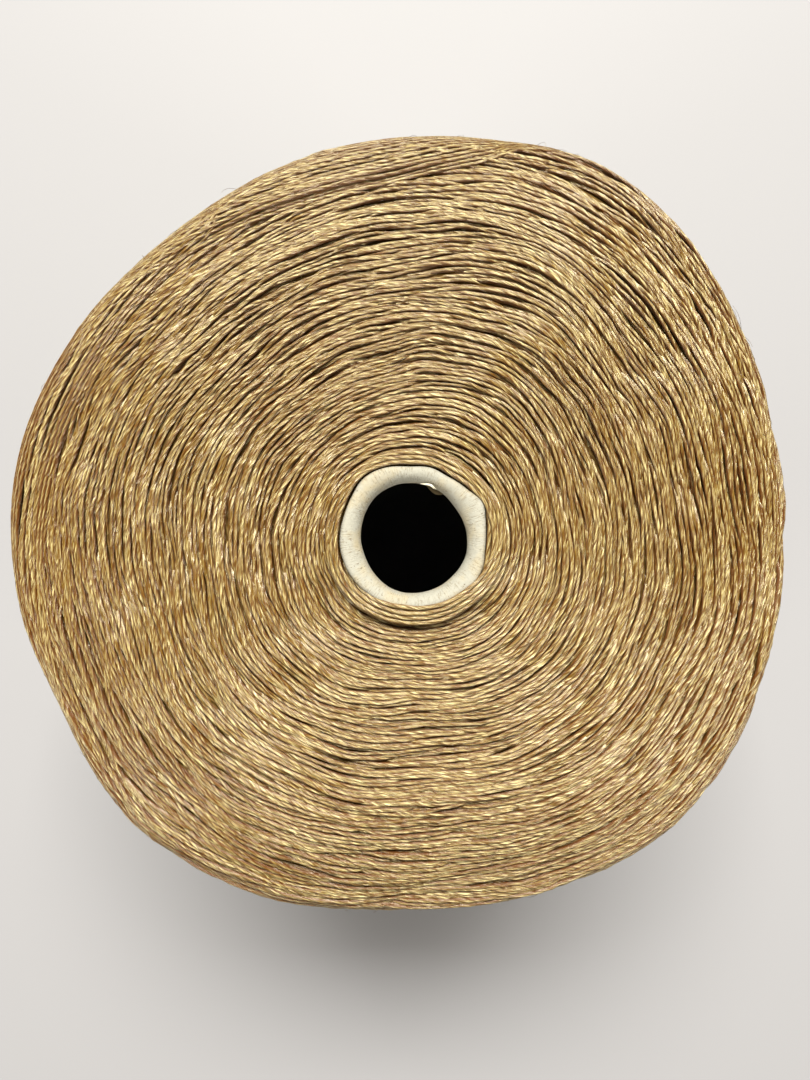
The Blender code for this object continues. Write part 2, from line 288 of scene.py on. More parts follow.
# Closed tubes. centres and normals are strands x points x 3, thickness is the diameter there.
def strandMesh(name, centres, normals, thickness, sides, tone, mapName="strand"):
    strands, points, _ = centres.shape
    tangent = np.gradient(centres, axis=1)
    tangent /= np.linalg.norm(tangent, axis=2, keepdims=True)
    up = normals - (normals * tangent).sum(2, keepdims=True) * tangent
    up /= np.linalg.norm(up, axis=2, keepdims=True)
    across = np.cross(tangent, up)
    turn = (np.arange(sides) / sides * tau)[None, None, :, None]
    ring = np.cos(turn) * across[:, :, None] + np.sin(turn) * up[:, :, None]
    vertices = centres[:, :, None] + ring * (thickness[:, :, None, None] / 2)
    index = np.arange(strands * points * sides).reshape(strands, points, sides)
    ahead = np.roll(index, -1, axis=2)
    quads = np.stack([index[:, :-1], ahead[:, :-1], ahead[:, 1:], index[:, 1:]], -1).reshape(-1, 4)
    loops = np.concatenate([quads.ravel(), index[:, 0, ::-1].ravel(), index[:, -1].ravel()])
    sizes = np.concatenate([np.full(len(quads), 4), np.full(2 * strands, sides)])

    mesh = bpy.data.meshes.new(name)
    mesh.vertices.add(vertices.size // 3)
    mesh.vertices.foreach_set("co", vertices.astype(np.float32).ravel())
    mesh.loops.add(len(loops))
    mesh.loops.foreach_set("vertex_index", loops.astype(np.int32))
    mesh.polygons.add(len(sizes))
    mesh.polygons.foreach_set("loop_start", np.concatenate([[0], np.cumsum(sizes)[:-1]]).astype(np.int32))
    mesh.update(calc_edges=True)
    mesh.polygons.foreach_set("use_smooth", np.ones(len(sizes), dtype=bool))

    # the strand map holds millimetres along a strand and turns round it
    steps = np.linalg.norm(np.diff(centres, axis=1), axis=2)
    along = np.cumsum(np.concatenate([np.zeros((strands, 1)), steps], 1), 1) / mm
    start = strandMaps["offset"] * (np.arange(strands) % strandMaps["repeatAfter"])[:, None]
    place = along + start
    near, far = (np.repeat(a[:, :, None], sides, 2) for a in (place[:, :-1], place[:, 1:]))
    left = np.broadcast_to(np.arange(sides) / sides, near.shape)
    right = left + 1 / sides
    strandCorners = np.stack([near, left, near, right, far, right, far, left], -1).reshape(-1, 2)
    caps = np.repeat(np.concatenate([place[:, 0], place[:, -1]]), sides)
    caps = np.stack([caps, np.zeros_like(caps)], 1)
    strandMap = mesh.uv_layers.new(name=mapName)
    strandMap.data.foreach_set("uv", np.concatenate([strandCorners, caps]).astype(np.float32).ravel())

    # the bake map gives each strand a cell of its own, about as long for its width as the strand
    shape = along[:, -1].mean() * mm / (math.pi * thickness.mean())
    columns = max(1, round(math.sqrt(strands / shape)))
    rows = math.ceil(strands / columns)
    margin = strandMaps["bakeMargin"]
    corner = np.stack([np.arange(strands) % columns / columns, np.arange(strands) // columns / rows], 1)
    share = along / along[:, -1:]
    near, far = (np.repeat(a[:, :, None], sides, 2) for a in (share[:, :-1], share[:, 1:]))
    cell = np.stack([near, left, near, right, far, right, far, left], -1).reshape(strands, -1, 2)
    cell = corner[:, None] + (margin + (1 - 2 * margin) * cell) / (columns, rows)
    caps = np.concatenate([corner + margin / np.array([columns, rows]),
                           corner + np.array([1 - margin, margin]) / (columns, rows)])
    bakeMap = mesh.uv_layers.new(name="OFBake")
    bakeMap.data.foreach_set("uv", np.concatenate([cell.reshape(-1, 2), np.repeat(caps, sides, 0)])
                             .astype(np.float32).ravel())

    toneLayer = mesh.attributes.new("tone", "FLOAT", "POINT")
    toneLayer.data.foreach_set("value", np.repeat(tone, points * sides).astype(np.float32))
    return mesh


# Soft cotton of a few ends, plied with little twist. Its long slanting fibres give pale silky
# streaks. Painted shade darkens the valleys between plies, the strands' flanks and the partings
# between bundles of fibres towards brown. The strand map is in mm along a strand and in turns
# round it. Real fibres, 0.015 mm thick, would not show, so bundles of them are drawn.
cottonLook = {
    "pale": "#F1E7B4",
    "mid": "#86681A",
    "deep": "#66440C",
    # colour of the painted shade on the flanks, in the ply valleys and in the partings
    "paintedShade": "#643404",
    "flankFrom": 0.078,  # turns from a strand's top to where the painted shade on its flanks starts
    "flankTo": 0.160,
    "flankShade": 0.06,
    "flankFray": 0.10,  # turns by which streaks break the edge of the flanks' painted shade
    "top": 0.25,  # turns round the strand to its top
    "plies": 4,
    "lay": 12.0,  # mm along the strand for one turn of the plies
    "unevenTwist": 1.2,
    "twistWave": (0.18, 0, 0),  # per mm: the twist changes about every 6 mm
    "plyRound": 0.4,  # share of a ply over which it rounds off
    "plyDepth": 0.12 * mm,
    "valleyWidth": 0.20,  # share of a ply darkened by painted shade in its valley
    "valleyShade": 0.30,
    "streaks": (3.9, 0.28, 0),  # per ply, and per mm: each about 3.6 mm long
    "streakDepth": 0.15 * mm,
    "midStreaks": (0.31, 0.49),  # of the streaks' noise, where deep turns to mid
    "paleStreaks": (0.46, 0.72),  # where mid turns to pale
    "partings": (3.1, 0.20, 0),  # painted shade in the gaps between bundles of fibres, about 5 mm long
    "partingEdge": (0.43, 0.485),
    "partingShade": 0.12,
    "humps": (0.30, 1.3, 0),  # per mm, and per turn: the uneven thickness of a spun yarn
    "humpDepth": 0.08 * mm,
    "humpTone": 0.04,  # how much humps, and each strand's own tone, change its colour
    "strandTone": 0.05,
    "roughness": 0.30,
    "ior": 1.58,  # of cotton along its fibres
    "specular": 1.0,
    "specularTint": "#FFFBF0",  # gloss takes a little of the fibres' colour
    "anisotropy": 0.85,
    "glossTurn": 0.25,  # a quarter turn, so that gloss spreads across the fibres
    "diffuseRoughness": 0.6,
    "sheen": 0.01,
    "sheenRoughness": 0.4,
    "sheenTint": "#F2DFB4",
}

coreTurnsLook = dict(cottonLook, flankShade=0.45)  # less painted shade on the flanks, as light reaches in beside the pale rim


def makePliedCotton(name, look):
    material, tree, shader = newMaterial(name)
    strand = addNode(tree, "ShaderNodeUVMap", {"uv_map": "strand"})  # mm along, turns round
    tone = addNode(tree, "ShaderNodeAttribute", {"attribute_name": "tone"}).outputs["Fac"]
    times, sumUp, subtract = ({"operation": kind} for kind in ("MULTIPLY", "MULTIPLY_ADD", "SUBTRACT"))
    fold, dot = {"operation": "PINGPONG"}, {"operation": "DOT_PRODUCT"}
    flat, mix = {"noise_dimensions": "2D"}, {"data_type": "RGBA"}

    # phase counts the plies, along the strand and round it, at an uneven twist
    slow = addNode(tree, "ShaderNodeVectorMath", times, _0=strand, _1=look["twistWave"])
    twist = addNode(tree, "ShaderNodeTexNoise", flat, Vector=slow, Scale=1.0, Detail=1.0)
    counted = addNode(tree, "ShaderNodeVectorMath", dot, _0=strand,
                      _1=(look["plies"] / look["lay"], look["plies"], 0)).outputs["Value"]
    phase = addNode(tree, "ShaderNodeMath", sumUp, _0=twist, _1=look["unevenTwist"], _2=counted)
    saw = addNode(tree, "ShaderNodeMath", fold, _0=phase, _1=0.5)
    ply = addNode(tree, "ShaderNodeMapRange", {"interpolation_type": "SMOOTHSTEP"},
                  _0=saw, _1=0.0, _2=look["plyRound"])

    # fibres lie along the plies: fine across them and long along the strand
    parts = addNode(tree, "ShaderNodeSeparateXYZ", _0=strand)
    fibrePlace = addNode(tree, "ShaderNodeCombineXYZ", X=phase, Y=parts)
    streakPlace = addNode(tree, "ShaderNodeVectorMath", times, _0=fibrePlace, _1=look["streaks"])
    streak = addNode(tree, "ShaderNodeTexNoise", flat, Vector=streakPlace,
                     Scale=1.0, Detail=3.0, Roughness=0.65)
    partPlace = addNode(tree, "ShaderNodeVectorMath", times, _0=fibrePlace, _1=look["partings"])
    bundle = addNode(tree, "ShaderNodeTexNoise", flat, Vector=partPlace,
                     Scale=1.0, Detail=1.0, Roughness=0.5)
    humpPlace = addNode(tree, "ShaderNodeVectorMath", times, _0=strand, _1=look["humps"])
    hump = addNode(tree, "ShaderNodeTexNoise", flat, Vector=humpPlace, Scale=1.0, Detail=2.0)

    # deep to mid to pale along the streaks
    share = addNode(tree, "ShaderNodeMath", sumUp, _0=tone, _1=look["strandTone"], _2=streak)
    share = addNode(tree, "ShaderNodeMath", sumUp, _0=hump, _1=look["humpTone"], _2=share)
    (midFrom, midTo), (paleFrom, paleTo) = look["midStreaks"], look["paleStreaks"]
    low = addNode(tree, "ShaderNodeMapRange", _0=share, _1=midFrom, _2=midTo)
    high = addNode(tree, "ShaderNodeMapRange", _0=share, _1=paleFrom, _2=paleTo)
    colour = addNode(tree, "ShaderNodeMix", mix, _0=low, _6=look["deep"], _7=look["mid"]).outputs[2]
    colour = addNode(tree, "ShaderNodeMix", mix, _0=high, _6=colour, _7=look["pale"]).outputs[2]

    # painted shade: darker in the valleys between plies, on the flanks, and where bundles of fibres part
    # painted shade in the valleys between plies
    valley = addNode(tree, "ShaderNodeMapRange", _0=saw, _1=0.0, _2=look["valleyWidth"],
                     _3=look["valleyShade"], _4=1.0)
    aside = addNode(tree, "ShaderNodeMath", subtract, _0=parts.outputs["Y"], _1=look["top"])
    fromTop = addNode(tree, "ShaderNodeMath", fold, _0=aside, _1=0.5)
    frayed = addNode(tree, "ShaderNodeMath", sumUp, _0=streak, _1=look["flankFray"], _2=fromTop)
    fray = look["flankFray"] / 2  # as the streaks' noise is about a half
    # the flanks' painted shade, by turns from the strand's top
    flank = addNode(tree, "ShaderNodeMapRange", _0=frayed, _1=look["flankFrom"] + fray,
                    _2=look["flankTo"] + fray, _3=1.0, _4=look["flankShade"])
    # painted shade where bundles of fibres part
    middle = addNode(tree, "ShaderNodeMath", fold, _0=bundle, _1=0.5)
    partFrom, partTo = look["partingEdge"]
    parting = addNode(tree, "ShaderNodeMapRange", _0=middle, _1=partFrom, _2=partTo,
                      _3=1.0, _4=look["partingShade"])
    # light is the share of the colour left outside the painted shade
    light = addNode(tree, "ShaderNodeMath", times, _0=valley, _1=flank)
    light = addNode(tree, "ShaderNodeMath", times, _0=light, _1=parting)
    colour = addNode(tree, "ShaderNodeMix", mix, _0=light, _6=look["paintedShade"], _7=colour).outputs[2]
    tree.links.new(colour, shader.inputs["Base Color"])

    bump = addNode(tree, "ShaderNodeBump", Height=hump, Distance=look["humpDepth"])
    bump = addNode(tree, "ShaderNodeBump", Height=ply, Distance=look["plyDepth"], Normal=bump)
    bump = addNode(tree, "ShaderNodeBump", Height=streak, Distance=look["streakDepth"], Normal=bump)
    tree.links.new(bump.outputs[0], shader.inputs["Normal"])
    shader.inputs["Roughness"].default_value = look["roughness"]
    shader.inputs["Specular IOR Level"].default_value = look["specular"]
    shader.inputs["Specular Tint"].default_value = linear(look["specularTint"])
    shader.inputs["IOR"].default_value = look["ior"]
    shader.inputs["Diffuse Roughness"].default_value = look["diffuseRoughness"]
    shader.inputs["Anisotropic"].default_value = look["anisotropy"]
    shader.inputs["Anisotropic Rotation"].default_value = look["glossTurn"]
    tangent = addNode(tree, "ShaderNodeTangent", {"direction_type": "UV_MAP", "uv_map": "strand"})
    tree.links.new(tangent.outputs[0], shader.inputs["Tangent"])
    shader.inputs["Sheen Weight"].default_value = look["sheen"]
    shader.inputs["Sheen Roughness"].default_value = look["sheenRoughness"]
    shader.inputs["Sheen Tint"].default_value = linear(look["sheenTint"])
    return material


# The same cotton with painted shade, as in the shade of the strands over it: brown, with the ridges of turns
# below painted darker between them.
shadedLook = {
    # both colours are painted shade, darker than the plied cotton
    "light": "#786038",
    "dark": "#4A3414",
    "ridge": 0.8,  # mm from one turn to the next
    "slant": 0.06,  # ridges per mm round the form
    "ripple": 0.12,  # per mm: ridges bend about every 8 mm
    "rippleDepth": 4.0,  # in ridges
    "ridgeDepth": 0.5 * mm,
    "roughness": 0.9,
    "specular": 0.1,
}


def makeShadedCotton():
    look = shadedLook
    material, tree, shader = newMaterial("shadedCotton")
    wound = addNode(tree, "ShaderNodeUVMap", {"uv_map": "wound"})  # mm down the form, mm round it
    ripple = addNode(tree, "ShaderNodeTexNoise", {"noise_dimensions": "2D"}, Vector=wound,
                     Scale=look["ripple"], Detail=2.0)
    across = addNode(tree, "ShaderNodeVectorMath", {"operation": "DOT_PRODUCT"}, _0=wound,
                     _1=(1 / look["ridge"], look["slant"], 0)).outputs["Value"]
    bent = addNode(tree, "ShaderNodeMath", {"operation": "MULTIPLY_ADD"}, _0=ripple,
                   _1=look["rippleDepth"], _2=across)
    ridge = addNode(tree, "ShaderNodeMath", {"operation": "PINGPONG"}, _0=bent, _1=0.5)
    share = addNode(tree, "ShaderNodeMath", {"operation": "MULTIPLY"}, _0=ridge, _1=2.0)
    # painted shade: dark between the ridges, light on them
    colour = addNode(tree, "ShaderNodeMix", {"data_type": "RGBA"}, _0=share,
                     _6=look["dark"], _7=look["light"]).outputs[2]
    tree.links.new(colour, shader.inputs["Base Color"])
    bump = addNode(tree, "ShaderNodeBump", Height=ridge, Distance=look["ridgeDepth"])
    tree.links.new(bump.outputs[0], shader.inputs["Normal"])
    shader.inputs["Roughness"].default_value = look["roughness"]
    shader.inputs["Specular IOR Level"].default_value = look["specular"]
    return material


# Grey-white cone board, rolled over at the nose: matt, with a few fibre specks, a warm cast where
# the yarn has rubbed it and patches of fine creases across the roll, darkened with painted shade.
# Its grain is coarser than real paper fibre, which would not show.
boardLook = {
    "board": "#AAA9A4",
    "rubbed": "#BBA983",
    "speck": "#5B4A36",
    # the creases' painted shade
    "crease": "#7C705E",
    "speckSize": 0.42 * mm,
    "speckEdge": (0.645, 0.70),  # of its noise
    "speckShare": 0.75,  # of its colour where it is strongest
    "rubbedSize": 4 * mm,
    "rubbedEdge": (0.46, 0.68),
    "rubbedShare": 0.5,
    "grainSize": 0.22 * mm,
    "grainDepth": 0.10 * mm,
    "creases": (4.5, 0.7, 0),  # per mm: each 0.2 mm wide and 1.4 mm long
    "creaseEdge": (0.52, 0.70),
    "creaseShare": 0.75,
    "creaseDepth": 0.13 * mm,
    "patches": 0.22,  # per mm: creases come in patches of 5 mm
    "patchEdge": (0.40, 0.56),
    "patchRest": 0.12,  # share of the creases outside the patches
    "roughness": 0.82,
    "specular": 0.3,
}

frayLook = dict(boardLook, board="#F0ECE0", rubbed="#E6DECB")  # the white fibre inside the board
lapLook = dict(boardLook, board="#5E523C", rubbed="#665438")  # its raw edge, in painted shade: made dark brown as if in the shade inside the roll


def makeBoard(name, look):
    material, tree, shader = newMaterial(name)
    place = addNode(tree, "ShaderNodeTexCoord").outputs["Object"]
    board = addNode(tree, "ShaderNodeUVMap", {"uv_map": "board"})  # mm round the nose, mm along its section
    times, flat, mix = {"operation": "MULTIPLY"}, {"noise_dimensions": "2D"}, {"data_type": "RGBA"}
    cloud = addNode(tree, "ShaderNodeTexNoise", Vector=place, Scale=1 / look["rubbedSize"], Detail=4.0)
    dots = addNode(tree, "ShaderNodeTexNoise", Vector=place, Scale=1 / look["speckSize"],
                   Detail=2.0, Roughness=0.7)
    lines = addNode(tree, "ShaderNodeVectorMath", times, _0=board, _1=look["creases"])
    streaks = addNode(tree, "ShaderNodeTexNoise", flat, Vector=lines, Scale=1.0, Detail=3.0, Roughness=0.6)
    patches = addNode(tree, "ShaderNodeTexNoise", flat, Vector=board, Scale=look["patches"], Detail=1.0)
    rubbed, speck, crease = (
        addNode(tree, "ShaderNodeMapRange", _0=noise, _1=look[kind + "Edge"][0], _2=look[kind + "Edge"][1],
                _3=0.0, _4=look[kind + "Share"])
        for noise, kind in ((cloud, "rubbed"), (dots, "speck"), (streaks, "crease")))
    patchFrom, patchTo = look["patchEdge"]
    patch = addNode(tree, "ShaderNodeMapRange", _0=patches, _1=patchFrom, _2=patchTo, _3=look["patchRest"])
    crease = addNode(tree, "ShaderNodeMath", times, _0=crease, _1=patch)
    grain = addNode(tree, "ShaderNodeTexNoise", Vector=place, Scale=1 / look["grainSize"], Detail=3.0)
    colour = addNode(tree, "ShaderNodeMix", mix, _0=rubbed, _6=look["board"], _7=look["rubbed"]).outputs[2]
    # painted shade in the creases
    colour = addNode(tree, "ShaderNodeMix", mix, _0=crease, _6=colour, _7=look["crease"]).outputs[2]
    colour = addNode(tree, "ShaderNodeMix", mix, _0=speck, _6=colour, _7=look["speck"]).outputs[2]
    tree.links.new(colour, shader.inputs["Base Color"])
    bump = addNode(tree, "ShaderNodeBump", Height=grain, Distance=look["grainDepth"])
    bump = addNode(tree, "ShaderNodeBump", Height=streaks, Distance=look["creaseDepth"], Normal=bump)
    tree.links.new(bump.outputs[0], shader.inputs["Normal"])
    shader.inputs["Roughness"].default_value = look["roughness"]
    shader.inputs["Specular IOR Level"].default_value = look["specular"]
    return material


cottonYarn = makePliedCotton("pliedCotton", cottonLook)
shadedCotton = makeShadedCotton()
cottonByRim = makePliedCotton("pliedCottonByRim", coreTurnsLook)
coneBoard, boardFray = makeBoard("coneBoard", boardLook), makeBoard("boardFray", frayLook)
boardEdge = makeBoard("boardEdge", lapLook)
print("materials made: plied cotton, shaded cotton, cone board, its fray and its raw edge")


# The nose end face: in every row, arcs of the layers' turning points, one after another.
noseFace = {
    "rows": (2.5 * mm, sideTopRun + 2.5 * mm),  # runs of the first and last
    "neatRow": 0.0,  # by the paper cone, where turns lie in even rings
    "neatTo": 9 * mm,
    "rowGap": 0.745 * mm,
    "rimGap": 0.695 * mm,  # by the rim
    "rimGapOver": (36 * mm, 52 * mm),  # where the one gap turns into the other
    "rowStray": 0.12,  # in row gaps
    "thickness": 0.84 * mm,
    "thicknessSpread": 0.12,
    "drop": 0.0,
    "arcLength": (18 * mm, 40 * mm),
    "widestArc": 2.2,  # radians, near the cone
    "shown": 0.70,  # share of an arc before the next one takes its place in the row
    "shownSpread": (0.85, 1.15),
    "dive": 2.0 * mm,  # of an arc's ends
    "divePower": 4.0,
    "liftSpread": 0.20 * mm,
    "slope": 1.6,  # degrees, how far arcs stray from their layer
    "bend": 0.18 * mm,
    "bendMiddle": 0.4,  # where a bent arc is on its row, as a share of the bend
    "wideWander": 0.45 * mm,  # at wanderRadius
    "fineWander": 0.14 * mm,
    "wanderRadius": 50 * mm,
    "ownWander": 0.11 * mm,  # each strand's own waviness
    "ownWave": 9 * mm,
    "swell": 0.10 * mm,  # rise and fall of a strand over those that it crosses
    "swellWave": 8 * mm,
    "layerLift": 0.18 * mm,
    "points": 18,
    "sides": 5,
    "seed": 4,
}

# seed, wave down the form, and wave round it in degrees
layerFlows = {"wide": (11, 9 * mm, 26), "fine": (12, 3 * mm, 10), "height": (13, 5 * mm, 14)}
wideFlow, fineFlow, heightFlow = (layerNoise(*flow) for flow in layerFlows.values())

swellParts = {
    "waves": (1.0, 1.7, 2.9),  # each this many times as fine as the widest
    "spread": (0.8, 1.25),
    "fade": 0.7,  # power at which the finer ones swing less
}


def swells(random, along, wave):  # each strand's own rise and fall, about -1 to 1
    total = 0
    for part in swellParts["waves"]:
        phase = random.uniform(0, tau, (len(along), 1))
        pitch = wave / part * random.uniform(*swellParts["spread"], (len(along), 1))
        total = total + np.sin(tau * along / pitch + phase) / part ** swellParts["fade"]
    return total / 2


def endFaceArcs(style):
    random = np.random.default_rng(style["seed"])
    rows = []
    row, lastRow = style["rows"]
    while row < lastRow:
        theta = random.uniform(0, tau)
        end = theta + tau
        while theta < end:
            length = min(random.uniform(*style["arcLength"]), style["widestArc"] * radiusAt(row))
            rows.append((row + random.normal(0, style["rowStray"] * style["rowGap"]), theta, length / 2))
            theta += style["shown"] * length / radiusAt(row) * random.uniform(*style["shownSpread"])
        row += style["rowGap"] + (style["rimGap"] - style["rowGap"]) * smoothStep(row, *style["rimGapOver"])
    rowRun, middle, half = (column[:, None] for column in np.array(rows).T)
    count = len(rows)
    t = np.linspace(-1, 1, style["points"])[None, :]
    theta = middle + t * half / radiusAt(rowRun)
    stray = smoothStep(np.abs(rowRun - style["neatRow"]), 0, style["neatTo"])
    slope = np.tan(np.radians(random.normal(0, style["slope"], (count, 1))))
    bend = random.normal(0, style["bend"], (count, 1))
    run = rowRun + (t * half * slope + bend * (t * t - style["bendMiddle"])) * stray
    wander = style["wideWander"] * wideFlow(run, theta) + style["fineWander"] * fineFlow(run, theta)
    run = run + stray * wander * radiusAt(run) / style["wanderRadius"]
    run = run + style["ownWander"] * swells(random, t * half, style["ownWave"])
    lift = (-style["thickness"] / 2 - style["drop"] - style["dive"] * np.abs(t) ** style["divePower"]
            + random.normal(0, style["liftSpread"], (count, 1)) + style["layerLift"] * heightFlow(run, theta)
            + style["swell"] * swells(random, t * half, style["swellWave"]))
    return run, theta, lift, random


thicknessWave = 9 * mm
unevenLength = 30 * mm  # length over which a strand's thickness is worked out, and then stretched


def layStrands(name, run, theta, lift, style, random, replaced=None):
    centres, normals = onPackage(run, theta, lift)
    count = len(run)
    along = np.linspace(0, 1, run.shape[1])[None, :] * unevenLength
    uneven = random.standard_normal((count, 1)) + swells(random, along, thicknessWave)
    uneven = 1 + style["thicknessSpread"] * uneven
    mesh = strandMesh(name, centres, normals, style["thickness"] * uneven, style["sides"],
                      random.uniform(-1, 1, count))
    print(name, count, "strands,", len(mesh.loops) - 2 * len(mesh.polygons), "triangles")
    return addPiece(name, mesh, cottonYarn, replaced)


run, theta, lift, random = endFaceArcs(noseFace)
noseFaceBands = {"noseFaceInner": 27 * mm, "noseFaceMiddle": 46 * mm, "noseFaceOuter": profileEnd}
bandStart = -profileEnd
for name, bandEnd in noseFaceBands.items():
    band = (run[:, 0] >= bandStart) & (run[:, 0] < bandEnd)
    layStrands(name, run[band], theta[band], lift[band], noseFace, random,
               "yarn_package" if name == "noseFaceInner" else None)
    bandStart = bandEnd

# the strands that show in the gaps
noseFaceBelow = dict(noseFace, rows=(1.5 * mm, sideTopRun + 2.5 * mm), drop=0.72 * mm, points=11,
                     sides=4, seed=41)
run, theta, lift, random = endFaceArcs(noseFaceBelow)
layStrands("noseFaceBelow", run, theta, lift, noseFaceBelow, random)


# The last turns by the paper cone: a spiral that follows its rim and crosses it at the bottom.
coreTurns = {
    # how far down, off the rim, and how many turns
    "seats": {"coreTurns": (0.0, 0.0, 3.6), "coreTurnsBelow": (0.7 * mm, 0.25 * mm, 2.6)},
    "start": 200,  # degrees
    "offRim": -0.08 * mm,
    "evenRadius": 13.7 * mm,  # of the ring that the rim's uneven edge turns into
    "evenAfter": 4,  # turns
    "gap": 0.76 * mm,
    "height": 169.0 * mm,
    "lean": 0.55 * mm,  # how far up the turns lean against the rim
    "fall": 0.26 * mm,  # from one turn to the next
    "climb": 0.5 * mm,  # where a turn lies on the rolled rim
    "climbOver": 0.4 * mm,  # of rim under the turn
    "climbTurns": (4.5, 3.3),  # it fades out by the first, over the second
    "ends": 0.12,  # turns over which the ends dive
    "dive": 2.2 * mm,
    "swell": 0.10 * mm,
    "swellRadius": 14 * mm,
    "swellWaves": (14 * mm, 11 * mm),  # aside, and up and down
    "thickness": 0.86 * mm,
    "thicknessSpread": 0.10,
    "pointsPerTurn": 90,
    "sides": 6,
    "seed": 5,
}


def makeCoreTurns(name, down, offRim, turns):
    style = coreTurns
    random = np.random.default_rng(style["seed"])
    turn = np.linspace(0, turns, int(turns * style["pointsPerTurn"]))
    theta = turn * tau + math.radians(style["start"])
    along = theta[None, :] * style["swellRadius"]
    aside, up = style["swellWaves"]
    rim, inner = roundTable(rimRows, 1, theta), roundTable(rimRows, 2, theta)
    overlap = np.maximum(rim - inner, 0)
    inner = np.where(overlap > 0, inner, np.maximum(inner, rim + style["offRim"]))
    if offRim:
        inner = rim + offRim
    first = style["evenRadius"] + (inner - style["evenRadius"]) * np.exp(-turn / style["evenAfter"])
    radius = first + style["gap"] * turn + style["swell"] * swells(random, along, aside)[0]
    climbEnd, climbFade = style["climbTurns"]
    climb = style["climb"] * smoothStep(overlap, 0, style["climbOver"])
    climb = climb * np.clip((climbEnd - turn) / climbFade, 0, 1)
    ends = smoothStep(np.minimum(turn, turns - turn), 0, style["ends"])
    height = style["height"] + style["lean"] - down + climb - style["dive"] * (1 - ends)
    height = height - style["fall"] * turn + style["swell"] * swells(random, along, up)[0]
    centres = np.stack([radius * np.cos(theta), radius * np.sin(theta), height], -1)[None]
    normals = np.broadcast_to((0.0, 0.0, 1.0), centres.shape)
    uneven = 1 + style["thicknessSpread"] * swells(random, along, thicknessWave)
    mesh = strandMesh(name, centres, normals, style["thickness"] * uneven, style["sides"], np.zeros(1))
    print(name, turns, "turns")
    return addPiece(name, mesh, cottonByRim)


for name, seat in coreTurns["seats"].items():
    makeCoreTurns(name, *seat)
print("nose face laid")


# Outer turns that slipped over the nose shoulder and lie along the rim in two swags.
# crest rows are degrees and radius (mm) of the innermost turn.
firstSwag = {
    "crest": ((74, 79.6), (77, 78.2), (80, 76.7), (85, 74.0), (90, 71.9), (95, 70.4), (100, 69.9),
              (110, 70.0), (115, 70.5), (120, 71.2), (125, 72.2), (130, 73.4), (135, 74.9), (141, 77.6)),
    "turns": 12,
    "slopeTurns": 3,  # on the lip's inner slope
    "crease": None,  # it has one crest
    "seed": 21,
}

secondSwag = {
    "crest": ((119, 72.0), (125, 72.3), (130, 72.6), (140, 71.5), (150, 71.2), (157, 71.6), (165, 72.3),
              (175, 73.1), (185, 74.2), (195, 75.4), (203, 76.6), (210, 78.6)),
    "turns": 9,
    "slopeTurns": 2,
    "crease": 3,  # turns inside the crease between its two crests
    "seed": 22,
}

slippedTurns = {
    "gap": 0.78 * mm,  # past a swag's ends, where the turns lie side by side
    "slopeGap": 0.75 * mm,
    "creaseGap": 0.9 * mm,
    "onEdge": 2.5 * mm,  # the edge that is seen from above, before the side's top
    "runSteps": 200,
    "helix": math.tan(math.radians(14)),
    "tail": (28, 60),  # degrees that a turn goes on down the side before it dives under
    "tailBend": 14,  # degrees over which it turns down the side
    "dive": 2.6 * mm,
    "diveOver": 16,  # degrees
    "proud": 0.25 * mm,
    "liftSpread": 0.05 * mm,
    "stray": 0.06 * mm,
    "strayWave": 40 * mm,
    "swell": 0.035 * mm,
    "swellWave": 12 * mm,
    "swellRadius": 78 * mm,
    "looseTurns": 5,  # the lowest, which lie further and further apart
    "looseGap": 0.18 * mm,
    "looseSpread": (0.2, 0.8),
    "endsOver": 3,  # degrees over which the crest rows start and end
    "smoothOver": 5,  # degrees
    "soften": 9,  # degrees over which a turn's rise to the rim starts and ends
    "thickness": 0.82 * mm,  # pulled tight
    "thicknessSpread": 0.06,
    "points": 64,
    "sides": 6,
}


def runAt(radius, theta):  # run of the point of the nose face or shoulder at this radius
    runs = np.linspace(0, sideTopRun, slippedTurns["runSteps"])
    found = [np.interp(r, radiusAt(runs) + swing(radiusAt(runs), heightAt(runs), t), runs)
             for r, t in zip(radius, theta)]
    return np.array(found)


def sagByDegree(swag):  # how far the innermost turn lies from the edge, degree by degree
    style = slippedTurns
    degrees, crest = np.array(swag["crest"]).T
    first, last = degrees[0], degrees[-1]
    reach = 2 * style["soften"]
    fine = np.arange(first - reach, last + reach + 1, 1.0)
    crestRun = runAt(np.interp(fine, degrees, crest) * mm, np.radians(fine))
    sag = np.maximum(sideTopRun - style["onEdge"] - crestRun, 0)
    sag = sag * smoothStep(np.minimum(fine - first, last - fine), 0, style["endsOver"])
    sag = np.convolve(sag, np.ones(style["smoothOver"]) / style["smoothOver"], mode="same")
    softer = np.hanning(2 * style["soften"] + 3)[1:-1]
    softer = softer / softer.sum()
    once = np.convolve(sag, softer, mode="same")
    twice = np.convolve(np.maximum(sag, once), softer, mode="same")
    return first, last, fine, np.maximum(sag, twice)


